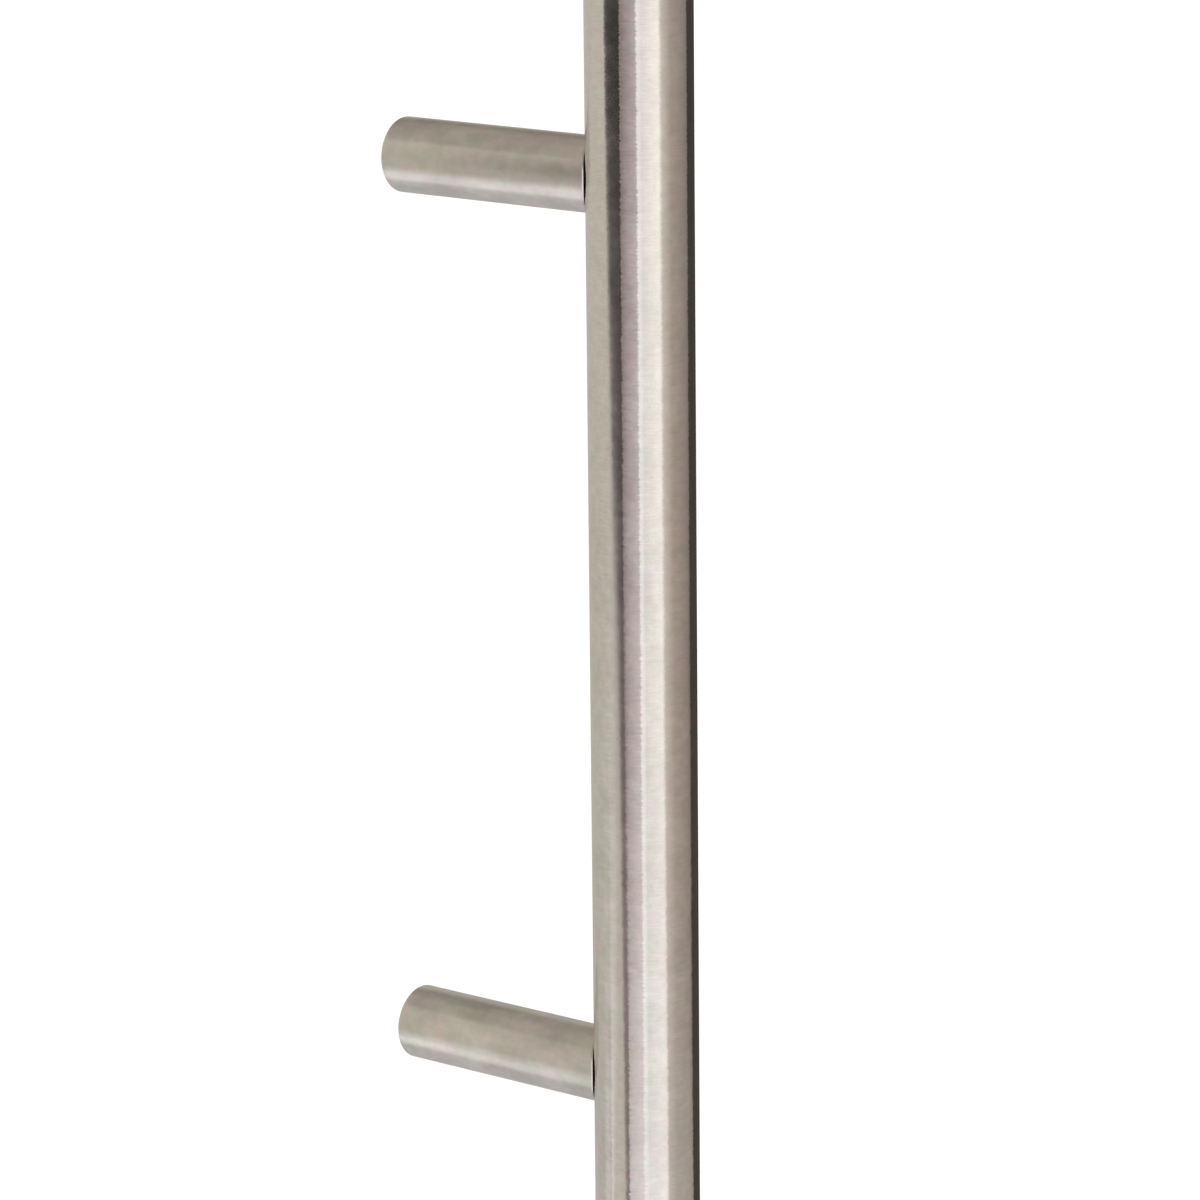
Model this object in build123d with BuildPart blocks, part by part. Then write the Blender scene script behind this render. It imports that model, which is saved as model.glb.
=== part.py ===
from build123d import *
import os

# Straight door pull handle. A round grip tube, closed by a cap at each end, is held off the door
# by two round posts. The far end of each post is coped into a saddle that takes the tube.
# Lengths are millimetres. +Z runs up along the grip and +Y points into the door, whose face is
# the plane y = 0. The origin lies on that face, midway between the two fixings.

# Grip tube
bar_diameter = 35.0
tube_wall = 1.5
bar_length = 500.0  # over both caps
tube_edge_break = 0.2

# Where the grip stands
fixing_centres = 300.0
standoff = 80.0  # door face to the near side of the grip

# End caps, pressed into the tube
cap_thickness = 2.5
cap_edge_break = 0.8
cap_plug_length = 8.0
cap_clearance = 0.05

# Posts
post_diameter = 25.0
door_edge_break = 0.5
saddle_relief = 2.5  # how much larger the saddle's radius is than the grip's
saddle_edge_break = 0.3
web_thickness = 10.0  # solid floor left between the bore and the saddle

# Screw that pulls the saddle on to the grip, and its split lock washer
screw_diameter = 8.0
screw_length = 25.0
screw_tip_break = 0.8
screw_head_diameter = 13.0
screw_head_height = 8.0
screw_head_edge_break = 0.6
screw_hex = 6.0
screw_hex_depth = 4.0
screw_hole_clearance = 0.5
screw_head_clearance = 0.5
washer_diameter = 12.7
washer_thickness = 2.0
washer_split = 1.2
washer_split_angle = 25.0
thread_clearance = 0.05

# Rivet nut set in the back of the grip tube
nut_shank_diameter = 11.0
nut_head_overhang = 1.0
nut_head_thickness = 0.8
nut_bulge_overhang = 1.8
nut_bulge_length = 5.0
nut_bulge_edge_break = 1.0
nut_barrel_length = 7.0  # what lies beyond the bulge
nut_clearance = 0.05
nut_recess_clearance = 0.5  # round the nut's head
nut_recess_air = 1.2  # over the nut's head

# Fixing spigot that is bolted to the door
spigot_length = 24.0
spigot_edge_break = 0.5
spigot_clearance = 0.05
fixing_thread_core = 6.8  # core diameter of the tapped hole
groove_distance = 12.0  # from the door face
groove_depth = 1.3

# Grub screw that locks the post on the spigot
grub_diameter = 5.0
grub_hex = 2.5
grub_hex_depth = 2.0
grub_recess = 0.6
grub_tip_clearance = 0.25
grub_hole_clearance = 0.025

# Sizes that follow from those above
bar_radius = bar_diameter / 2
tube_inner_radius = bar_radius - tube_wall
tube_length = bar_length - 2 * cap_thickness
bar_axis_distance = standoff + bar_radius
post_radius = post_diameter / 2
saddle_radius = bar_radius + saddle_relief
bore_diameter = max(screw_head_diameter, washer_diameter) + 2 * screw_head_clearance
nut_head_diameter = nut_shank_diameter + 2 * nut_head_overhang
nut_bulge_diameter = nut_shank_diameter + 2 * nut_bulge_overhang
nut_bulge_end = standoff + tube_wall + nut_bulge_length
nut_recess_diameter = nut_head_diameter + 2 * nut_recess_clearance
nut_recess_depth = nut_head_thickness + nut_recess_air
nut_recess_floor = standoff - nut_recess_depth
bore_depth = nut_recess_floor - web_thickness
washer_hole_diameter = screw_diameter + 2 * thread_clearance
screw_seat = bore_depth - washer_thickness
spigot_radius = bore_diameter / 2 - spigot_clearance
core_radius = fixing_thread_core / 2
groove_bottom_radius = spigot_radius - groove_depth
grub_radius = grub_diameter / 2
grub_tip = groove_bottom_radius + grub_tip_clearance
grub_end = post_radius - grub_recess

fixings = (("upper", fixing_centres / 2), ("lower", -fixing_centres / 2))
fixing_points = [(0, 0, height) for _, height in fixings]
grip_ends = (("top", 1), ("bottom", -1))

os.makedirs("parts", exist_ok=True)


def post_plane(height, distance=0):
    """Plane across a post at this distance from the door: its normal runs out along the post."""
    return Plane(origin=(0, -distance, height), x_dir=(1, 0, 0), z_dir=(0, -1, 0))


def grip_plane(height, distance=bar_axis_distance):
    """Plane across the grip, centred this far from the door."""
    return Plane(origin=(0, -distance, height))


def post_half_section(height):
    """Half section along a post: x is the distance from the door and y is the radius."""
    return Plane(origin=(0, 0, height), x_dir=(0, -1, 0), z_dir=(-1, 0, 0))


# Half section along a grub screw: x is the depth below the post's axis and y is the radius
grub_half_section = Plane(origin=(0, -groove_distance, 0), x_dir=(0, 0, -1), z_dir=(1, 0, 0))

# Grip tube, with a hole in its back for each rivet nut
with BuildPart() as grip_tube:
    with BuildSketch(grip_plane(0)):
        Circle(bar_radius)
        Circle(tube_inner_radius, mode=Mode.SUBTRACT)
    extrude(amount=tube_length / 2, both=True)
    for end_face in grip_tube.faces().filter_by(GeomType.PLANE):
        chamfer(end_face.outer_wire().edges(), tube_edge_break)
    for _, height in fixings:
        with BuildSketch(post_plane(height, standoff - tube_wall)):
            Circle(nut_shank_diameter / 2 + nut_clearance)
        extrude(amount=bar_radius, mode=Mode.SUBTRACT)
grip_tube.part.label = "grip_tube"
export_step(grip_tube.part, "parts/grip_tube.step")

# End caps: a flange as wide as the tube, on a short plug that is pressed into it
for name, direction in grip_ends:
    tube_end = Plane(
        origin=(0, -bar_axis_distance, direction * tube_length / 2),
        x_dir=(1, 0, 0),
        z_dir=(0, 0, direction),
    )
    outward = Axis(tube_end.origin, tube_end.z_dir)
    with BuildPart() as end_cap:
        with BuildSketch(tube_end):
            Circle(bar_radius)
        extrude(amount=cap_thickness)
        chamfer(end_cap.faces().sort_by(outward)[-1].edges(), cap_edge_break)
        with BuildSketch(tube_end):
            Circle(tube_inner_radius - cap_clearance)
        extrude(amount=-cap_plug_length)
    end_cap.part.label = f"{name}_end_cap"
    export_step(end_cap.part, f"parts/{name}_end_cap.step")

# Posts: round bar coped to the grip, bored from the door end down to a web
for name, height in fixings:
    with BuildPart() as post:
        with BuildSketch(post_plane(height)):
            Circle(post_radius)
        extrude(amount=bar_axis_distance)
        chamfer(post.faces().sort_by(Axis.Y)[-1].edges(), door_edge_break)
        # The saddle's larger radius touches the grip along its middle and clears it at the horns
        with BuildSketch(grip_plane(height, standoff + saddle_radius)):
            Circle(saddle_radius)
        extrude(amount=post_diameter, both=True, mode=Mode.SUBTRACT)
        chamfer(post.faces().sort_by(Axis.Y)[0].edges(), saddle_edge_break)
        # Bore for the fixing spigot and the screw's head, then the screw's hole through the web
        with BuildSketch(post_plane(height)):
            Circle(bore_diameter / 2)
        extrude(amount=bore_depth, mode=Mode.SUBTRACT)
        with BuildSketch(post_plane(height, bore_depth)):
            Circle(screw_diameter / 2 + screw_hole_clearance)
        extrude(amount=web_thickness, mode=Mode.SUBTRACT)
        # Recess in the saddle for the rivet nut's head
        with BuildSketch(post_plane(height, nut_recess_floor)):
            Circle(nut_recess_diameter / 2)
        extrude(amount=bar_radius, mode=Mode.SUBTRACT)
        # Grub screw's hole, on the underside where it doesn't show
        with BuildSketch(Plane(origin=(0, -groove_distance, height), z_dir=(0, 0, -1))):
            Circle(grub_radius + grub_hole_clearance)
        extrude(amount=post_diameter, mode=Mode.SUBTRACT)
    post.part.label = f"{name}_post"
    export_step(post.part, f"parts/{name}_post.step")

# Fixing spigots, turned and tapped through, with a V-groove for the grub screw's point. The mouth of
# the thread and the end that the post slides over have their edges broken.
for name, height in fixings:
    with BuildPart() as fixing_spigot:
        with BuildSketch(post_half_section(height)):
            with BuildLine():
                Polyline(
                    (0, core_radius + spigot_edge_break),
                    (0, spigot_radius),
                    (groove_distance - groove_depth, spigot_radius),
                    (groove_distance, groove_bottom_radius),
                    (groove_distance + groove_depth, spigot_radius),
                    (spigot_length - spigot_edge_break, spigot_radius),
                    (spigot_length, spigot_radius - spigot_edge_break),
                    (spigot_length, core_radius),
                    (spigot_edge_break, core_radius),
                    close=True,
                )
            make_face()
        revolve(axis=Axis((0, 0, height), (0, 1, 0)))
    fixing_spigot.part.label = f"{name}_fixing_spigot"
    export_step(fixing_spigot.part, f"parts/{name}_fixing_spigot.step")

# Like fasteners share a node: each is drawn once, on a line at z = 0 like a post's axis, and then put
# at both fixings.

# Rivet nuts: the head lies on the tube, and the bulge clamps the wall from inside
with BuildPart() as nut_head:
    with BuildSketch(grip_plane(0)):
        Circle(bar_radius + nut_head_thickness)
        Circle(bar_radius, mode=Mode.SUBTRACT)
    extrude(amount=nut_head_diameter, both=True)
    with BuildSketch(post_plane(0)):
        Circle(nut_head_diameter / 2)
    extrude(amount=bar_axis_distance, mode=Mode.INTERSECT)
with BuildPart() as rivet_nut:
    with BuildSketch(post_plane(0, standoff)):
        Circle(nut_bulge_diameter / 2)
    extrude(amount=nut_bulge_end - standoff)
    chamfer(rivet_nut.faces().sort_by(Axis.Y)[0].edges(), nut_bulge_edge_break)
    with BuildSketch(grip_plane(0)):
        Circle(tube_inner_radius)
    extrude(amount=nut_bulge_diameter, both=True, mode=Mode.INTERSECT)
    with BuildSketch(post_plane(0, nut_recess_floor)):
        Circle(nut_shank_diameter / 2)
    extrude(amount=nut_bulge_end + nut_barrel_length - nut_recess_floor)
    with BuildSketch(grip_plane(0)):
        Circle(bar_radius + nut_head_thickness)
    extrude(amount=nut_bulge_diameter, both=True, mode=Mode.INTERSECT)
    add(nut_head.part)
    with BuildSketch(post_plane(0)):
        Circle(screw_diameter / 2 + thread_clearance)
    extrude(amount=2 * bar_axis_distance, mode=Mode.SUBTRACT)
with BuildPart() as rivet_nuts:
    with Locations(*fixing_points):
        add(rivet_nut.part)
rivet_nuts.part.label = "rivet_nuts"
export_step(rivet_nuts.part, "parts/rivet_nuts.step")

# Socket cap screws, put in from the door end of the post
with BuildPart() as post_screw:
    with BuildSketch(post_plane(0, screw_seat)):
        Circle(screw_diameter / 2)
    extrude(amount=screw_length)
    chamfer(post_screw.faces().sort_by(Axis.Y)[0].edges(), screw_tip_break)
    with BuildSketch(post_plane(0, screw_seat)):
        Circle(screw_head_diameter / 2)
    extrude(amount=-screw_head_height)
    chamfer(post_screw.faces().sort_by(Axis.Y)[-1].edges(), screw_head_edge_break)
    with BuildSketch(post_plane(0, screw_seat - screw_head_height)):
        RegularPolygon(screw_hex / 2, 6, major_radius=False)
    extrude(amount=screw_hex_depth, mode=Mode.SUBTRACT)
with BuildPart() as post_screws:
    with Locations(*fixing_points):
        add(post_screw.part)
post_screws.part.label = "post_screws"
export_step(post_screws.part, "parts/post_screws.step")

# Lock washers: a flattened ring with a slanted split
with BuildPart() as lock_washer:
    with BuildSketch(post_plane(0, screw_seat)):
        Circle(washer_diameter / 2)
        Circle(washer_hole_diameter / 2, mode=Mode.SUBTRACT)
    extrude(amount=washer_thickness)
    washer_middle = (0, -screw_seat - washer_thickness / 2, 0)
    with BuildSketch(Plane(origin=washer_middle, x_dir=(0, 0, 1), z_dir=(1, 0, 0))):
        Rectangle(washer_split, 2 * washer_thickness, rotation=washer_split_angle)
    extrude(amount=washer_diameter, mode=Mode.SUBTRACT)
with BuildPart() as lock_washers:
    with Locations(*fixing_points):
        add(lock_washer.part)
lock_washers.part.label = "lock_washers"
export_step(lock_washers.part, "parts/lock_washers.step")

# Grub screws: a right-angled cone point and a hex socket
with BuildPart() as grub_screw:
    with BuildSketch(grub_half_section):
        with BuildLine():
            Polyline(
                (grub_tip, 0),
                (grub_tip + grub_radius, grub_radius),
                (grub_end, grub_radius),
                (grub_end, 0),
                close=True,
            )
        make_face()
    revolve(axis=Axis((0, -groove_distance, 0), (0, 0, 1)))
    with BuildSketch(Plane(origin=(0, -groove_distance, -grub_end))):
        RegularPolygon(grub_hex / 2, 6, major_radius=False)
    extrude(amount=grub_hex_depth, mode=Mode.SUBTRACT)
with BuildPart() as grub_screws:
    with Locations(*fixing_points):
        add(grub_screw.part)
grub_screws.part.label = "grub_screws"
export_step(grub_screws.part, "parts/grub_screws.step")
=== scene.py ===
import math
import bmesh
import bpy
from mathutils import Matrix, Vector


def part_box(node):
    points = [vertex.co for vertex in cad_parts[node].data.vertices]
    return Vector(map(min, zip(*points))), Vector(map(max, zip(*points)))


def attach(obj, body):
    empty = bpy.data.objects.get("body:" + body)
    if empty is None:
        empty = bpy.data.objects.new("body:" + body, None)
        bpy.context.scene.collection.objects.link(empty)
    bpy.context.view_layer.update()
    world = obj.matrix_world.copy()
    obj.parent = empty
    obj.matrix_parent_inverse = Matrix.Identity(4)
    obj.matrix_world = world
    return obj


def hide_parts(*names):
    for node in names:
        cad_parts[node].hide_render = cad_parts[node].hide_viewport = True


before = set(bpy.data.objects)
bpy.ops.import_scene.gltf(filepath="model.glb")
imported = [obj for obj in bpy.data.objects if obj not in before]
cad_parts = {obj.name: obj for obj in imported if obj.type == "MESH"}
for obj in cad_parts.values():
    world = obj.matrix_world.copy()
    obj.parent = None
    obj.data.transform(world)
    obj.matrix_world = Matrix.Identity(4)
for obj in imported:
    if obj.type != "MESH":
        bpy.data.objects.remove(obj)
bpy.context.view_layer.update()

# Straight door pull handle in satin stainless steel. Lengths are metres, in the frame's axes: +Z runs
# up along the grip and +Y points into the door, whose face is the plane y = 0.

# Sizes read from the frame
tube_low, tube_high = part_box("grip_tube")
GRIP_RADIUS = (tube_high.x - tube_low.x) / 2
STANDOFF = -tube_high.y
GRIP_AXIS_Y = -STANDOFF - GRIP_RADIUS
TUBE_HALF_LENGTH = tube_high.z
HANDLE_HALF_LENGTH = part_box("top_end_cap")[1].z
POST_HEIGHTS = {
    name: sum(corner.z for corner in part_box(f"{name}_post")) / 2 for name in ("upper", "lower")
}
POST_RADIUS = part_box("upper_post")[1].x
SPIGOT_LENGTH = -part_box("upper_fixing_spigot")[0].y
GRUB_DISTANCE = -sum(corner.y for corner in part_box("grub_screws")) / 2
GRUB_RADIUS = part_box("grub_screws")[1].x
GRUB_END = POST_HEIGHTS["lower"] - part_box("grub_screws")[0].z
GRUB_TIP = POST_HEIGHTS["upper"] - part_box("grub_screws")[1].z
SCREW_TIP = -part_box("post_screws")[0].y
SCREW_TOP = -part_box("post_screws")[1].y
SCREW_HEAD_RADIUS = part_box("post_screws")[1].x

# Sizes that a box doesn't show
TUBE_WALL = 0.0015
TUBE_EDGE = 0.0002
NUT_HOLE_RADIUS = 0.00555
CAP_EDGE = 0.0008
CAP_PLUG_LENGTH = 0.008
CAP_CLEARANCE = 0.00005
SADDLE_RADIUS = GRIP_RADIUS + 0.0025
SADDLE_EDGE = 0.0003
SADDLE_EDGE_LENGTH = 0.0006
DOOR_EDGE = 0.0005
BORE_RADIUS = 0.007
BORE_DEPTH = 0.068
SCREW_HOLE_RADIUS = 0.0045
NUT_RECESS_FLOOR = 0.078
GRUB_HOLE_RADIUS = 0.002525
SPIGOT_RADIUS = BORE_RADIUS - 0.00005
SPIGOT_EDGE = 0.0005
SPIGOT_CORE = 0.0034
GROOVE_DEPTH = 0.0013
M8_RADIUS = 0.004
M8_PITCH = 0.00125
M8_DEPTH = 0.0006
M5_PITCH = 0.0008
M5_DEPTH = 0.0004
SCREW_HEAD_HEIGHT = 0.008
SCREW_HEAD_EDGE = 0.0006
SCREW_TIP_EDGE = 0.0008
SCREW_HEX = 0.006
SCREW_HEX_DEPTH = 0.004
KNURL_COUNT = 36
KNURL_DEPTH = 0.0002
GRUB_HEX = 0.0025
GRUB_HEX_DEPTH = 0.002

# Fineness of the meshes: steps round a turn and along an edge, and distances between rings
TURN_STEPS = 360
SMALL_TURN_STEPS = 96
KNURL_STEPS = 4
EDGE_STEPS = 5
TUBE_SPACING = 0.008
TUBE_INNER_SPACING = 0.02
CAP_FACE_RADII = (0.004, 0.008, 0.012, 0.015)
POST_SPACING = 0.002
SADDLE_SPACING = 0.001
SADDLE_ROOM = 0.001
BORE_SPACING = 0.004
BORED_THREAD_RINGS = 8
SCREW_THREAD_RINGS = 6
SHARP_EDGE = 20

# Camera, in degrees, metres and the photograph's pixels
CAMERA_YAW = -52.0920
CAMERA_PITCH = 13.4208
CAMERA_ROLL = -0.5611
CAMERA_DISTANCE = 1.66253
CAMERA_RIGHT = 0.014134
CAMERA_UP = -0.011816
PHOTO_WIDTH = 1200
PHOTO_FOCAL_LENGTH = 5106.4
SENSOR_WIDTH = 36.0


def angles(steps):
    """Evenly spaced angles round a full turn."""
    return [2 * math.pi * step / steps for step in range(steps)]


def spread(start, end, spacing):
    """Values from start to end, both included, at about this spacing."""
    steps = max(1, round(abs(end - start) / spacing))
    return [start + (end - start) * step / steps for step in range(steps + 1)]


def between(first, second, share):
    """Values this share of the way from the first list to the second."""
    return [one + (other - one) * share for one, other in zip(first, second)]


def quarter():
    """Sine and one minus cosine along a quarter turn, for a rounded edge."""
    for step in range(EDGE_STEPS + 1):
        turn = math.pi / 2 * step / EDGE_STEPS
        yield math.sin(turn), 1 - math.cos(turn)


def grip_point(radius, angle, height):
    """Point round the grip's axis."""
    return (radius * math.cos(angle), GRIP_AXIS_Y + radius * math.sin(angle), height)


def post_point(height, radius, angle, distance):
    """Point round the axis of the post at this height, this far from the door."""
    return (radius * math.cos(angle), -distance, height + radius * math.sin(angle))


def grub_point(height, radius, angle, depth):
    """Point round the grub screw's axis, this far below the axis of the post at this height."""
    return (radius * math.cos(angle), -GRUB_DISTANCE - radius * math.sin(angle), height - depth)


def mesh_from_rings(name, rings, poles=False):
    """Closed mesh through rings of points. With poles the first and last ring are one point each."""
    mesh = bmesh.new()
    rows = [[mesh.verts.new(point) for point in ring] for ring in rings]
    if not poles:
        rows.append(rows[0])
    for first, second in zip(rows, rows[1:]):
        count = max(len(first), len(second))
        for step in range(count):
            corners = [
                first[step % len(first)],
                first[(step + 1) % count % len(first)],
                second[(step + 1) % count % len(second)],
                second[step % len(second)],
            ]
            mesh.faces.new(list(dict.fromkeys(corners)))
    bmesh.ops.recalc_face_normals(mesh, faces=mesh.faces)
    data = bpy.data.meshes.new(name)
    mesh.to_mesh(data)
    mesh.free()
    piece = bpy.data.objects.new(name, data)
    bpy.context.scene.collection.objects.link(piece)
    return piece


def make_drill(point, height, radius, start, end):
    """Round bar to be cut out of a piece. point gives the places round its axis."""
    rings = [
        [point(height, radius, angle, place) for angle in angles(SMALL_TURN_STEPS)]
        for place in (start, end)
    ]
    first, last = ([point(height, 0, 0, place)] for place in (start, end))
    return mesh_from_rings("drill", [first, *rings, last], poles=True)


def cut(piece, *drills):
    """Takes the drills out of the piece and deletes them."""
    for drill in drills:
        boolean = piece.modifiers.new("cut", "BOOLEAN")
        boolean.operation = "DIFFERENCE"
        boolean.solver = "EXACT"
        boolean.object = drill
    depsgraph = bpy.context.evaluated_depsgraph_get()
    data = bpy.data.meshes.new_from_object(piece.evaluated_get(depsgraph))
    piece.modifiers.clear()
    piece.data = data
    for drill in drills:
        bpy.data.objects.remove(drill)


def finish_piece(piece, material, slot, *nodes):
    """Smooths the piece, gives it its material and puts it in place of its CAD nodes."""
    piece.data.shade_smooth()
    piece.data.set_sharp_from_angle(angle=math.radians(SHARP_EDGE))
    piece.data.materials.clear()
    piece.data.materials.append(material)
    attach(piece, "root")
    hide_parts(*nodes)


# Materials


class NodeTree:
    """Short ways to add and link nodes in a material."""

    def __init__(self, name):
        self.material = bpy.data.materials.new(name)
        self.material.use_nodes = True
        self.tree = self.material.node_tree
        self.shader = self.tree.nodes["Principled BSDF"]
        self.output = self.tree.nodes["Material Output"]

    def add(self, kind, settings=(), **inputs):
        node = self.tree.nodes.new(kind)
        for key, value in dict(settings).items():
            setattr(node, key, value)
        for key, value in inputs.items():
            self.put(value, node.inputs[key.replace("_", " ")])
        return node

    def put(self, value, socket):
        if isinstance(value, bpy.types.NodeSocket):
            self.tree.links.new(value, socket)
        else:
            socket.default_value = value

    def noise(self, position, scale, detail=2.0, roughness=0.5):
        node = self.add(
            "ShaderNodeTexNoise", Vector=position, Scale=scale, Detail=detail, Roughness=roughness
        )
        return node.outputs["Fac"]

    def stretch(self, position, scale):
        return self.add("ShaderNodeMapping", Vector=position, Scale=scale).outputs["Vector"]

    def vector(self, operation, first, second=None):
        node = self.add("ShaderNodeVectorMath", {"operation": operation})
        self.put(first, node.inputs[0])
        if second is not None:
            self.put(second, node.inputs["Scale" if operation == "SCALE" else 1])
        return node.outputs["Value" if operation == "LENGTH" else "Vector"]

    def axis_distance(self, position, axis, centre):
        """Distance from the axes that run this way through centre and through its mirror images."""
        offset = self.vector("SUBTRACT", self.vector("ABSOLUTE", position), centre)
        across = [float(letter != axis) for letter in "XYZ"]
        return self.vector("LENGTH", self.vector("MULTIPLY", offset, across))

    def math(self, operation, *values):
        """Result of the operation on the first two values, then on that and the next, and so on."""
        result = values[0]
        for value in values[1:]:
            node = self.add("ShaderNodeMath", {"operation": operation})
            self.put(result, node.inputs[0])
            self.put(value, node.inputs[1])
            result = node.outputs["Value"]
        return result

    def remap(self, value, low, high, to_low, to_high):
        node = self.add("ShaderNodeMapRange")
        for key, number in (
            ("Value", value),
            ("From Min", low),
            ("From Max", high),
            ("To Min", to_low),
            ("To Max", to_high),
        ):
            self.put(number, node.inputs[key])
        return node.outputs["Result"]

    def swing(self, noise, middle, reach):
        """Turns noise into values that swing this far to both sides of middle."""
        return self.remap(noise, 0.3, 0.7, middle - reach, middle + reach)

    def mix(self, factor, first, second, blend="MIX"):
        node = self.add("ShaderNodeMix", {"data_type": "RGBA", "blend_type": blend})
        self.put(factor, node.inputs["Factor"])
        self.put(first, node.inputs[6])
        self.put(second, node.inputs[7])
        return node.outputs[2]


# Polish of the grip and of the posts, which are a little duller and more uneven. cloud_length is how
# far the clouds and tints are drawn out along the axis, and waviness is in metres.
GRIP_POLISH = {
    "seed": 0.31,
    "brushing": 1.0,
    "cloudiness": 0.045,
    "cloud_scale": 75.0,
    "cloud_length": 1.0,
    "tint": 0.025,
    "waviness": 0.00007,
    "roughness": 0.18,
    "anisotropy": 1.0,
}
POST_POLISH = {
    "seed": 1.73,
    "brushing": 0.3,
    "cloudiness": 0.11,
    "cloud_scale": 130.0,
    "cloud_length": 2.0,
    "tint": 0.04,
    "waviness": 0.00006,
    "roughness": 0.30,
    "anisotropy": 0.72,
}
STAINLESS = (0.75, 0.735, 0.71)
FASTENER = (0.52, 0.525, 0.53)
FASTENER_DARKEST = 0.72
FASTENER_ROUGHNESS = 0.30


def satin_steel(name, axis, centre, polish):
    """Stainless steel brushed round this axis. Short fine lines run round it and tilt the surface a
    little from line to line. The polish is cloudy, slightly wavy, and a little pink and green."""
    nodes = NodeTree(name)
    place = nodes.add("ShaderNodeTexCoord").outputs["Object"]
    shift = [polish["seed"] * share for share in (1, 0.7, 1.3)]
    position = nodes.add("ShaderNodeMapping", Vector=place, Location=shift).outputs["Vector"]
    # Runs along the axis on a round side, and outwards from it on a flat end
    along = [float(letter == axis) for letter in "XYZ"]
    outwards = nodes.vector("SCALE", along, nodes.axis_distance(place, axis, centre))
    swept = nodes.vector("ADD", position, outwards)

    def lines(across_scale, along_scale):
        scale = [along_scale if letter == axis else across_scale for letter in "XYZ"]
        return nodes.noise(nodes.stretch(swept, scale), 1.0)

    fine = lines(160.0, 3600.0)
    strokes = lines(190.0, 1500.0)
    grain = nodes.noise(position, 1500.0, 2.0, 0.6)
    mottle = nodes.noise(position, 300.0, 3.0, 0.55)
    drawn_out = [1 / polish["cloud_length"] if letter == axis else 1.0 for letter in "XYZ"]
    clouds = nodes.noise(nodes.stretch(position, drawn_out), polish["cloud_scale"], 2.0, 0.55)
    tints = nodes.noise(nodes.stretch(position, drawn_out), 160.0)
    pits = nodes.noise(position, 1000.0, 1.0)

    red, green, blue = STAINLESS
    tint = polish["tint"]
    pinkish = (red * (1 + tint), green * (1 - 0.8 * tint), blue * (1 - 0.6 * tint), 1)
    greenish = (red * (1 - tint), green, blue * (1 - 1.8 * tint), 1)
    colour = nodes.mix(nodes.remap(tints, 0.36, 0.64, 0, 1), pinkish, greenish)
    brushing = polish["brushing"]
    cloudiness = polish["cloudiness"]
    shade = nodes.math(
        "MULTIPLY",
        nodes.swing(fine, 1, 0.035 * brushing),
        nodes.swing(strokes, 1, 0.025 * brushing),
        nodes.swing(mottle, 1, 0.045),
        nodes.swing(grain, 1, 0.02),
        nodes.remap(clouds, 0.35, 0.65, 1 - cloudiness, 1 + 0.6 * cloudiness),
        nodes.remap(pits, 0.78, 0.82, 1.0, 0.72),
    )
    grey = nodes.add("ShaderNodeCombineColor", Red=shade, Green=shade, Blue=shade).outputs["Color"]
    nodes.put(nodes.mix(1.0, colour, grey, "MULTIPLY"), nodes.shader.inputs["Base Color"])

    roughness = polish["roughness"]
    uneven = nodes.remap(clouds, 0.35, 0.65, roughness - 0.015, roughness + 0.015)
    rough = nodes.math("ADD", uneven, nodes.swing(mottle, 0, 0.012))
    nodes.put(rough, nodes.shader.inputs["Roughness"])
    nodes.shader.inputs["Metallic"].default_value = 1.0
    nodes.shader.inputs["Anisotropic"].default_value = polish["anisotropy"]
    nodes.shader.inputs["Anisotropic Rotation"].default_value = 0.25
    tangent = nodes.add("ShaderNodeTangent", {"direction_type": "RADIAL", "axis": axis})
    tangent = tangent.outputs["Tangent"]
    nodes.put(tangent, nodes.shader.inputs["Tangent"])

    # Each stroke leans a little to one side round the axis
    lean = nodes.math(
        "ADD",
        nodes.swing(strokes, 0, 0.010 * brushing),
        nodes.swing(fine, 0, 0.006 * brushing),
        nodes.swing(grain, 0, 0.015 * brushing),
    )
    waves = nodes.add("ShaderNodeBump", Height=clouds, Strength=1.0, Distance=polish["waviness"])
    leaning = nodes.vector("ADD", waves.outputs["Normal"], nodes.vector("SCALE", tangent, lean))
    nodes.put(nodes.vector("NORMALIZE", leaning), nodes.shader.inputs["Normal"])
    return nodes.material


def turned_steel(name):
    """Machined steel of the hidden fasteners: plain turning marks and a slightly uneven colour."""
    nodes = NodeTree(name)
    position = nodes.add("ShaderNodeTexCoord").outputs["Object"]
    outwards = nodes.axis_distance(position, "Y", POST_CENTRE)
    along = nodes.add("ShaderNodeSeparateXYZ", Vector=position).outputs["Y"]
    turns = nodes.add("ShaderNodeCombineXYZ", X=outwards, Y=along)
    marks = nodes.noise(turns.outputs["Vector"], 3000.0)
    clouds = nodes.noise(position, 160.0, 3.0)
    darkness = nodes.math(
        "ADD", nodes.remap(clouds, 0.35, 0.65, 0, 0.6), nodes.remap(marks, 0.35, 0.65, 0, 0.4)
    )
    dark = [value * FASTENER_DARKEST for value in FASTENER]
    colour = nodes.mix(darkness, (*FASTENER, 1), (*dark, 1))
    nodes.put(colour, nodes.shader.inputs["Base Color"])
    nodes.put(nodes.swing(marks, FASTENER_ROUGHNESS, 0.05), nodes.shader.inputs["Roughness"])
    nodes.shader.inputs["Metallic"].default_value = 1.0
    bump = nodes.add("ShaderNodeBump", Height=marks, Strength=0.2, Distance=0.00003)
    nodes.put(bump.outputs["Normal"], nodes.shader.inputs["Normal"])
    return nodes.material


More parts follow.
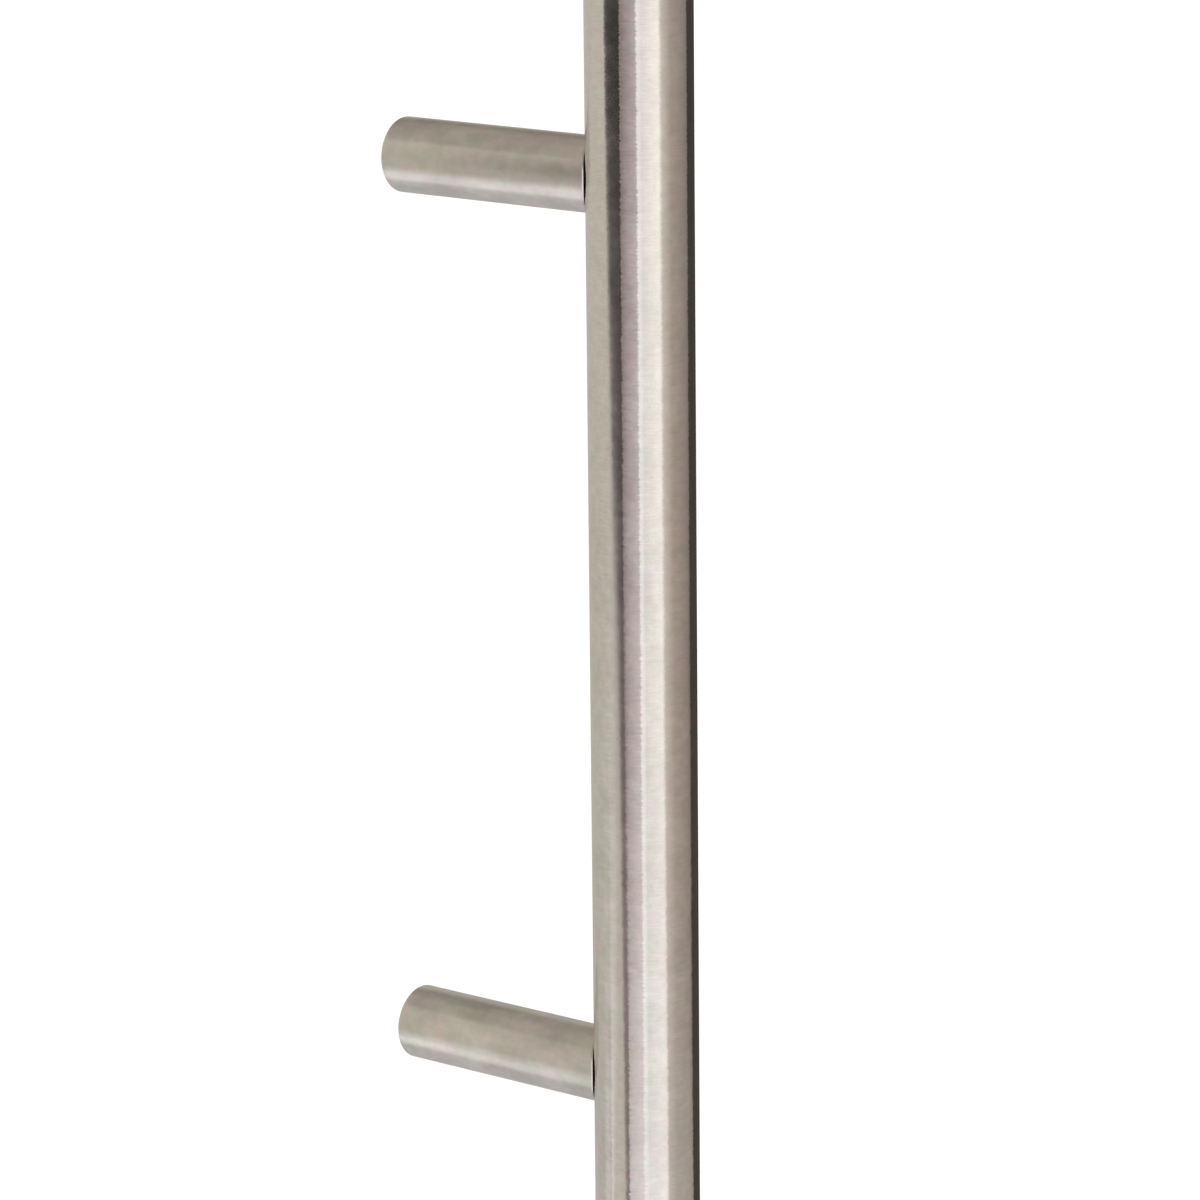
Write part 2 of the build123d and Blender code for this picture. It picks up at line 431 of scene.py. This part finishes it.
# Centres as axis_distance takes them, with no negative coordinate
GRIP_CENTRE = (0.0, -GRIP_AXIS_Y, 0.0)
POST_CENTRE = (0.0, 0.0, POST_HEIGHTS["upper"])
grip_steel = satin_steel("satin_steel_round_z", "Z", GRIP_CENTRE, GRIP_POLISH)
post_steel = satin_steel("satin_steel_round_y", "Y", POST_CENTRE, POST_POLISH)
fastener_steel = turned_steel("fastener_steel")

# Grip


def make_grip_tube():
    """Thin-walled tube with the two holes for the rivet nuts in its back."""
    edge = [
        (GRIP_RADIUS - TUBE_EDGE * (1 - sine), -TUBE_HALF_LENGTH + TUBE_EDGE * rest)
        for sine, rest in quarter()
    ]
    straight = TUBE_HALF_LENGTH - TUBE_EDGE
    path = edge + [(GRIP_RADIUS, z) for z in spread(-straight, straight, TUBE_SPACING)[1:-1]]
    path += [(radius, -z) for radius, z in reversed(edge)]
    inner_radius = GRIP_RADIUS - TUBE_WALL
    inside = spread(TUBE_HALF_LENGTH, -TUBE_HALF_LENGTH, TUBE_INNER_SPACING)
    path += [(inner_radius, z) for z in inside]
    turn = angles(TURN_STEPS)
    tube = mesh_from_rings(
        "grip_tube_satin", [[grip_point(r, angle, z) for angle in turn] for r, z in path]
    )
    before_tube = STANDOFF - TUBE_WALL
    tube_axis = STANDOFF + GRIP_RADIUS
    drills = [
        make_drill(post_point, height, NUT_HOLE_RADIUS, before_tube, tube_axis)
        for height in POST_HEIGHTS.values()
    ]
    cut(tube, *drills)
    finish_piece(tube, grip_steel, "satin_steel", "grip_tube")


def make_end_cap(name, direction):
    """Flange with a broken edge on a solid plug. direction is 1 at the top and -1 at the bottom."""
    end = direction * HANDLE_HALF_LENGTH
    seat = direction * TUBE_HALF_LENGTH
    plug_end = seat - direction * CAP_PLUG_LENGTH
    plug_radius = GRIP_RADIUS - TUBE_WALL - CAP_CLEARANCE
    path = [(radius, end) for radius in CAP_FACE_RADII]
    for sine, rest in quarter():
        path.append((GRIP_RADIUS - CAP_EDGE * (1 - sine), end - direction * CAP_EDGE * rest))
    path += [(GRIP_RADIUS, seat), (plug_radius, seat)]
    path += [(plug_radius, plug_end), (plug_radius / 2, plug_end)]
    turn = angles(TURN_STEPS)
    rings = [[grip_point(r, angle, z) for angle in turn] for r, z in path]
    first, last = ([grip_point(0, 0, z)] for z in (end, plug_end))
    cap = mesh_from_rings(f"{name}_end_cap_satin", [first, *rings, last], poles=True)
    finish_piece(cap, grip_steel, "satin_steel", f"{name}_end_cap")


# Posts and fixings


def saddle_distance(radius, angle):
    """Distance from the door to the saddle's face, at a point across the post."""
    across = radius * math.cos(angle)
    return STANDOFF + SADDLE_RADIUS - math.sqrt(SADDLE_RADIUS**2 - across**2)


def make_post(name, height):
    """Round post with a stepped bore, a hole for its grub screw and a saddle cut across its far end."""
    turn = angles(TURN_STEPS)
    rings = []

    def add_ring(radius, distance):
        rings.append([post_point(height, radius, angle, distance) for angle in turn])

    def add_saddle_ring(radius, back=0.0):
        rings.append(
            [post_point(height, radius, angle, saddle_distance(radius, angle) - back) for angle in turn]
        )

    add_ring(BORE_RADIUS, 0)
    add_ring(POST_RADIUS - 2 * DOOR_EDGE, 0)
    for sine, rest in quarter():
        add_ring(POST_RADIUS - DOOR_EDGE * (1 - sine), DOOR_EDGE * rest)
    for distance in spread(DOOR_EDGE, STANDOFF - SADDLE_ROOM, POST_SPACING)[1:]:
        add_ring(POST_RADIUS, distance)
    add_saddle_ring(POST_RADIUS, SADDLE_EDGE_LENGTH)
    for radius in spread(POST_RADIUS - SADDLE_EDGE, BORE_RADIUS, SADDLE_SPACING):
        add_saddle_ring(radius)
    add_ring(BORE_RADIUS, NUT_RECESS_FLOOR)
    add_ring(SCREW_HOLE_RADIUS, NUT_RECESS_FLOOR)
    add_ring(SCREW_HOLE_RADIUS, BORE_DEPTH)
    for distance in spread(BORE_DEPTH, 0, BORE_SPACING)[:-1]:
        add_ring(BORE_RADIUS, distance)
    post = mesh_from_rings(f"{name}_post_satin", rings)
    inside_bore = BORE_RADIUS * 0.6
    outside_post = POST_RADIUS * 1.2
    cut(post, make_drill(grub_point, height, GRUB_HOLE_RADIUS, inside_bore, outside_post))
    finish_piece(post, post_steel, "satin_steel", f"{name}_post")


def thread(distance, angle, pitch):
    """Share of the thread's depth at this place of a right-hand thread: 0 at its root, 1 at its crest.
    Root and crest are flat, and the flanks between them are straight."""
    turns = (distance / pitch - angle / (2 * math.pi)) % 1
    ridge = 1 - abs(2 * turns - 1)
    return min(1.0, max(0.0, 1.6 * ridge - 0.3))


def hexagon(flats, angle):
    """Distance from the middle of a hexagon, this wide across its flats, to its side."""
    return flats / 2 / math.cos(angle % (math.pi / 3) - math.pi / 6)


def make_spigot(name, height):
    """Fixing spigot with the M8 thread cut through it and a V-groove round it."""
    turn = angles(SMALL_TURN_STEPS)
    rings = []

    def add_ring(distance, reach):
        rings.append([post_point(height, reach(angle), angle, distance) for angle in turn])

    for distance in spread(0, SPIGOT_LENGTH, M8_PITCH / BORED_THREAD_RINGS):
        countersink = SPIGOT_CORE + SPIGOT_EDGE - distance
        add_ring(
            distance,
            lambda angle: max(countersink, SPIGOT_CORE + M8_DEPTH * thread(distance, angle, M8_PITCH)),
        )
    for distance, radius in (
        (SPIGOT_LENGTH, SPIGOT_RADIUS - SPIGOT_EDGE),
        (SPIGOT_LENGTH - SPIGOT_EDGE, SPIGOT_RADIUS),
        (GRUB_DISTANCE + GROOVE_DEPTH, SPIGOT_RADIUS),
        (GRUB_DISTANCE, SPIGOT_RADIUS - GROOVE_DEPTH),
        (GRUB_DISTANCE - GROOVE_DEPTH, SPIGOT_RADIUS),
        (0, SPIGOT_RADIUS),
    ):
        add_ring(distance, lambda angle: radius)
    spigot = mesh_from_rings(f"{name}_spigot_tapped", rings)
    finish_piece(spigot, fastener_steel, "fastener_steel", f"{name}_fixing_spigot")


def make_post_screw(name, height):
    """M8 socket cap screw with a knurled head, threaded up to the head."""
    turn = angles(KNURL_STEPS * KNURL_COUNT)
    socket_floor = SCREW_TOP + SCREW_HEX_DEPTH
    seat = SCREW_TOP + SCREW_HEAD_HEIGHT
    core = M8_RADIUS - M8_DEPTH
    rings = [[post_point(height, 0, 0, socket_floor)]]

    def add_ring(distance, reach):
        rings.append([post_point(height, reach(angle), angle, distance) for angle in turn])

    def socket(angle):
        return hexagon(SCREW_HEX, angle)

    def knurl(angle):
        return SCREW_HEAD_RADIUS - KNURL_DEPTH * (0.5 - 0.5 * math.cos(KNURL_COUNT * angle))

    add_ring(socket_floor, socket)
    add_ring(SCREW_TOP, socket)
    add_ring(SCREW_TOP, lambda angle: SCREW_HEAD_RADIUS - SCREW_HEAD_EDGE - KNURL_DEPTH)
    add_ring(SCREW_TOP + SCREW_HEAD_EDGE, knurl)
    add_ring(seat - KNURL_DEPTH, knurl)
    add_ring(seat, lambda angle: SCREW_HEAD_RADIUS - 2 * KNURL_DEPTH)
    for distance in spread(seat, SCREW_TIP, M8_PITCH / SCREW_THREAD_RINGS):
        point = core + max(0.0, min(M8_DEPTH, SCREW_TIP - distance + M8_DEPTH - SCREW_TIP_EDGE))
        add_ring(
            distance, lambda angle: min(point, core + M8_DEPTH * thread(distance, angle, M8_PITCH))
        )
    rings.append([post_point(height, 0, 0, SCREW_TIP)])
    screw = mesh_from_rings(f"{name}_post_screw_threaded", rings, poles=True)
    finish_piece(screw, fastener_steel, "fastener_steel", "post_screws")


def make_grub_screw(name, height):
    """M5 grub screw with a cone point and a hex socket, hanging below the post's axis."""
    turn = angles(SMALL_TURN_STEPS)
    socket_floor = GRUB_END - GRUB_HEX_DEPTH
    core = GRUB_RADIUS - M5_DEPTH
    rings = [[grub_point(height, 0, 0, GRUB_TIP)]]

    def add_ring(depth, reach):
        rings.append([grub_point(height, reach(angle), angle, depth) for angle in turn])

    def socket(angle):
        return hexagon(GRUB_HEX, angle)

    for depth in spread(GRUB_TIP, GRUB_END, M5_PITCH / BORED_THREAD_RINGS)[1:]:
        cone = min(depth - GRUB_TIP, GRUB_RADIUS, GRUB_END - depth + core)
        add_ring(depth, lambda angle: min(cone, core + M5_DEPTH * thread(depth, angle, M5_PITCH)))
    add_ring(GRUB_END, socket)
    add_ring(socket_floor, socket)
    rings.append([grub_point(height, 0, 0, socket_floor)])
    screw = mesh_from_rings(f"{name}_grub_screw_threaded", rings, poles=True)
    finish_piece(screw, fastener_steel, "fastener_steel", "grub_screws")


make_grip_tube()
make_end_cap("top", 1)
make_end_cap("bottom", -1)
for post_name, post_height in POST_HEIGHTS.items():
    make_post(post_name, post_height)
    make_spigot(post_name, post_height)
    make_post_screw(post_name, post_height)
    make_grub_screw(post_name, post_height)
for node_name in ("rivet_nuts", "lock_washers"):
    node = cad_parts[node_name]
    node.data.materials.clear()
    node.data.materials.append(fastener_steel)

# Studio: a white surround, a pale floor, and cards that show only in the steel
CARD_COLOUR = "card_colour"
CARD_COLUMNS = 16
CARD_ROWS = 8
WALL_RADIUS = 1.5
WALL_TOP = 1.2
WALL_KNEE = 0.15
LOW_WALL_RADIUS = 1.49
BOARD_RADIUS = 1.4
LOW_BOARD_RADIUS = 0.6
FOOT_CARD_RADIUS = 0.36
DARK_CARD_RADIUS = 0.35
FLOOR_HEIGHT = -0.70
FLOOR_SIZE = 40.0
FLOOR_COLOUR = (0.75, 0.75, 0.745)
FLOOR_LIFT = 0.3
MAT_HEIGHT = FLOOR_HEIGHT + 0.002
MAT_END = 1.8
MAT_LEFT = -0.28
MAT_FRONT = -0.05
STRIP_BACK = 1.0

LOW_WALL = (0.58, 0.56, 0.52)
BROWN_BOARD = (0.67, 0.60, 0.53)
DIM_BOARD = (0.22, 0.20, 0.175)
LOW_BOARD = (0.54, 0.52, 0.47)
FOOT_CARD = (0.64, 0.61, 0.55)
SHADE_CARD = (0.065, 0.056, 0.05)
DARK_CARD = (0.012, 0.013, 0.015)
DARK_CARD_TOP = (0.30, 0.27, 0.24)
DARK_CARD_FOOT = (0.28, 0.215, 0.21)
CEILING = (0.47, 0.42, 0.37)
CEILING_END = (0.30, 0.27, 0.24)
SIDE_MAT = (0.55, 0.54, 0.55)
FRONT_MAT = (0.56, 0.54, 0.51)
STRIP = (1.05, 1.035, 1.06)
STRIP_END = (0.66, 0.65, 0.67)
FAR_STRIP = (0.54, 0.52, 0.48)

# Walls round the grip: azimuths, colours at them, and the shares of those left at the floor
WALLS = (
    ("left_wall", 30, 128, (0.565, 0.54, 0.485), (0.665, 0.635, 0.56), (0.85, 0.85, 0.85)),
    ("left_wall_end", 128, 177, (0.645, 0.61, 0.535), (0.645, 0.605, 0.53), (0.87, 0.86, 0.86)),
    ("pink_wall", 177, 211, (0.25, 0.205, 0.21), (0.50, 0.455, 0.465), (1.78, 1.62, 1.69)),
    ("window_frame", 211, 220, (1.06, 1.04, 1.07), (1.01, 0.99, 1.01), (1.12, 1.13, 1.13)),
    ("window", 220, 258, (0.99, 0.97, 0.98), (1.29, 1.235, 1.18), (0.86, 0.86, 0.86)),
    ("window_edge", 258, 265, (1.28, 1.22, 1.16), (0.75, 0.69, 0.63), (0.90, 0.89, 0.88)),
    ("brown_wall", 265, 285, (0.75, 0.69, 0.63), (0.49, 0.42, 0.375), (0.95, 0.90, 0.88)),
    ("brown_wall_end", 285, 335, (0.48, 0.41, 0.36), (0.29, 0.25, 0.23), (0.95, 0.88, 0.86)),
    ("shaded_wall", 335, 390, (0.06, 0.05, 0.045), (0.05, 0.045, 0.04), (1, 1, 1)),
)
# Dark upright card close to the grip, cut narrower towards its foot: heights and azimuths
DARK_ROWS = (
    (0.28, 141, 177),
    (0.16, 141, 177),
    (0.08, 146, 177),
    (-0.02, 154, 177),
    (-0.06, 160, 177),
    (-0.10, 163.5, 177),
    (-0.15, 166, 177),
    (-0.20, 167.5, 178),
    (-0.35, 171, 178),
    (-0.60, 175, 178),
)
# Card between the lower end of the grip and the bright floor: heights and azimuths
FOOT_ROWS = ((-0.24, 154, 169), (-0.31, 141, 170), (-0.45, 130, 174), (-0.62, 124, 176))


def make_glow(name):
    """Plain glow of the colours that a card's corners carry."""
    nodes = NodeTree(name)
    nodes.tree.nodes.remove(nodes.shader)
    colours = nodes.add("ShaderNodeAttribute", {"attribute_name": CARD_COLOUR})
    glow = nodes.add("ShaderNodeEmission", Color=colours.outputs["Color"], Strength=1.0)
    nodes.put(glow.outputs["Emission"], nodes.output.inputs["Surface"])
    return nodes.material


card_glow = make_glow("card_glow")


def make_card(name, rows):
    """Card through rows of (point, colour), seen by the steel alone."""
    columns = len(rows[0])
    faces = []
    for row in range(len(rows) - 1):
        for column in range(columns - 1):
            corner = row * columns + column
            faces.append((corner, corner + 1, corner + columns + 1, corner + columns))
    corners = [corner for row in rows for corner in row]
    data = bpy.data.meshes.new(name)
    data.from_pydata([point for point, colour in corners], [], faces)
    shades = data.attributes.new(CARD_COLOUR, "FLOAT_COLOR", "POINT")
    for shade, (point, colour) in zip(shades.data, corners):
        shade.color = (*colour, 1)
    data.materials.append(card_glow)
    card = bpy.data.objects.new(name, data)
    bpy.context.scene.collection.objects.link(card)
    card.visible_camera = False
    card.visible_diffuse = False
    card.visible_shadow = False


def make_arc_card(name, radius, top, bottom, first, last=None, lower=(1, 1, 1)):
    """Upright card round the grip. top and bottom are its height and its two azimuths in degrees there,
    first and last its colours at those azimuths, and lower the shares of them left at the bottom."""
    rows = []
    for row in range(CARD_ROWS + 1):
        height, start, end = between(top, bottom, row / CARD_ROWS)
        fade = between((1, 1, 1), lower, row / CARD_ROWS)
        rows.append([])
        for column in range(CARD_COLUMNS + 1):
            share = column / CARD_COLUMNS
            azimuth = math.radians(start + (end - start) * share)
            colour = between(first, last or first, share)
            colour = [value * part for value, part in zip(colour, fade)]
            rows[-1].append((grip_point(radius, azimuth, height), colour))
    make_card(name, rows)


def make_mat(name, *lines):
    """Mat on the floor through lines of (x, y, colour)."""
    make_card(name, [[((x, y, MAT_HEIGHT), colour) for x, y, colour in line] for line in lines])


def make_walls():
    for name, start, end, first, last, lower in WALLS:
        top, knee, foot = ((height, start, end) for height in (WALL_TOP, WALL_KNEE, FLOOR_HEIGHT))
        make_arc_card(name, WALL_RADIUS, top, knee, first, last)
        make_arc_card(f"{name}_foot", WALL_RADIUS, knee, foot, first, last, lower)


def make_near_cards():
    dark_top = (0.55, 141, 177)
    fade = (0.05, 0.05, 0.05)
    make_arc_card(
        "dark_card_top", DARK_CARD_RADIUS, dark_top, DARK_ROWS[0], DARK_CARD_TOP, lower=fade
    )
    for step, (top, bottom) in enumerate(zip(DARK_ROWS, DARK_ROWS[1:])):
        colour = between(DARK_CARD, DARK_CARD_FOOT, step / (len(DARK_ROWS) - 2))
        make_arc_card(f"dark_card_{step}", DARK_CARD_RADIUS, top, bottom, colour)
    for step, (top, bottom) in enumerate(zip(FOOT_ROWS, FOOT_ROWS[1:])):
        make_arc_card(f"foot_card_{step}", FOOT_CARD_RADIUS, top, bottom, FOOT_CARD)
    make_arc_card("shade_card", DARK_CARD_RADIUS, (0.5, 337, 385), (-0.69, 337, 385), SHADE_CARD)


def make_boards():
    rise = (1.4, 1.42, 1.5)
    make_arc_card(
        "low_wall", LOW_WALL_RADIUS, (-0.48, 133, 152), (-0.695, 133, 152), LOW_WALL, lower=rise
    )
    make_arc_card("low_board", LOW_BOARD_RADIUS, (-0.37, 118, 133), (-0.47, 128, 133), LOW_BOARD)
    make_arc_card("brown_board", BOARD_RADIUS, (WALL_TOP, 125, 177), (0.45, 125, 177), BROWN_BOARD)
    make_arc_card("dim_board", BOARD_RADIUS, (WALL_TOP, 30, 75), (0.63, 30, 75), DIM_BOARD)


def make_ceiling():
    rows = ((-MAT_END, CEILING), (0.8, CEILING), (1.1, CEILING_END), (MAT_END, CEILING_END))
    make_card(
        "ceiling",
        [[((x, y, WALL_TOP), colour) for x in (-MAT_END, MAT_END)] for y, colour in rows],
    )


def make_mats():
    make_mat(
        "floor_mat",
        *([(x, y, SIDE_MAT) for x in (MAT_LEFT, MAT_END)] for y in (MAT_FRONT, MAT_END)),
    )
    make_mat(
        "front_mat",
        *(
            [(x, y, FRONT_MAT) for x in (left, MAT_END)]
            for left, y in ((0.15, MAT_FRONT), (-0.2, -MAT_END))
        ),
    )
    make_mat(
        "floor_strip",
        *(
            [(-MAT_END, y, STRIP_END), (-0.5, y, STRIP), (MAT_LEFT, y, STRIP)]
            for y in (MAT_FRONT, STRIP_BACK)
        ),
    )
    make_mat(
        "far_strip",
        *([(x, y, FAR_STRIP) for x in (-MAT_END, MAT_LEFT)] for y in (STRIP_BACK, MAT_END)),
    )


def make_floor():
    """Pale floor, lit a little for the camera and for the steel, and clear from below."""
    far = FLOOR_SIZE / 2
    corners = [(x, y, FLOOR_HEIGHT) for x, y in ((-far, -far), (far, -far), (far, far), (-far, far))]
    data = bpy.data.meshes.new("floor")
    data.from_pydata(corners, [], [(0, 1, 2, 3)])
    nodes = NodeTree("floor")
    nodes.tree.nodes.remove(nodes.shader)
    pale = nodes.add("ShaderNodeBsdfDiffuse", Color=(*FLOOR_COLOUR, 1))
    rays = nodes.add("ShaderNodeLightPath").outputs
    seen = nodes.math(
        "MAXIMUM", rays["Is Camera Ray"], rays["Is Glossy Ray"], rays["Is Transmission Ray"]
    )
    strength = nodes.math("MULTIPLY", seen, FLOOR_LIFT)
    lift = nodes.add("ShaderNodeEmission", Color=(1, 1, 1, 1), Strength=strength)
    above = nodes.add("ShaderNodeAddShader")
    nodes.put(pale.outputs["BSDF"], above.inputs[0])
    nodes.put(lift.outputs["Emission"], above.inputs[1])
    sides = nodes.add("ShaderNodeMixShader")
    nodes.put(nodes.add("ShaderNodeNewGeometry").outputs["Backfacing"], sides.inputs[0])
    nodes.put(above.outputs["Shader"], sides.inputs[1])
    nodes.put(nodes.add("ShaderNodeBsdfTransparent").outputs["BSDF"], sides.inputs[2])
    nodes.put(sides.outputs["Shader"], nodes.output.inputs["Surface"])
    data.materials.append(nodes.material)
    floor = bpy.data.objects.new("floor", data)
    bpy.context.scene.collection.objects.link(floor)


def make_world():
    """Even white light from all round."""
    world = bpy.data.worlds.new("studio")
    bpy.context.scene.world = world
    world.use_nodes = True
    background = world.node_tree.nodes["Background"]
    background.inputs["Color"].default_value = (1, 1, 1, 1)
    background.inputs["Strength"].default_value = 1.0


def make_camera():
    """Camera at the photograph's viewing angle, aimed past the middle of the grip."""
    yaw = math.radians(CAMERA_YAW)
    pitch = math.radians(CAMERA_PITCH)
    roll = math.radians(CAMERA_ROLL)
    back = Vector(
        (math.sin(yaw) * math.cos(pitch), -math.cos(yaw) * math.cos(pitch), math.sin(pitch))
    )
    level = (-back).cross(Vector((0, 0, 1))).normalized()
    upright = level.cross(-back)
    right = math.cos(roll) * level + math.sin(roll) * upright
    up = math.cos(roll) * upright - math.sin(roll) * level
    place = Vector((0, GRIP_AXIS_Y, 0))
    place += CAMERA_DISTANCE * back - CAMERA_RIGHT * right - CAMERA_UP * up
    camera = bpy.data.objects.new("camera", bpy.data.cameras.new("camera"))
    bpy.context.scene.collection.objects.link(camera)
    camera.matrix_world = Matrix.Translation(place) @ Matrix((right, up, back)).transposed().to_4x4()
    camera.data.sensor_fit = "HORIZONTAL"
    camera.data.sensor_width = SENSOR_WIDTH
    camera.data.lens = SENSOR_WIDTH * PHOTO_FOCAL_LENGTH / PHOTO_WIDTH
    camera.data.clip_end = 100.0
    bpy.context.scene.camera = camera


make_walls()
make_near_cards()
make_ceiling()
make_boards()
make_mats()
make_floor()
make_world()
make_camera()
bpy.context.scene.view_settings.view_transform = "Standard"

bpy.context.view_layer.update()
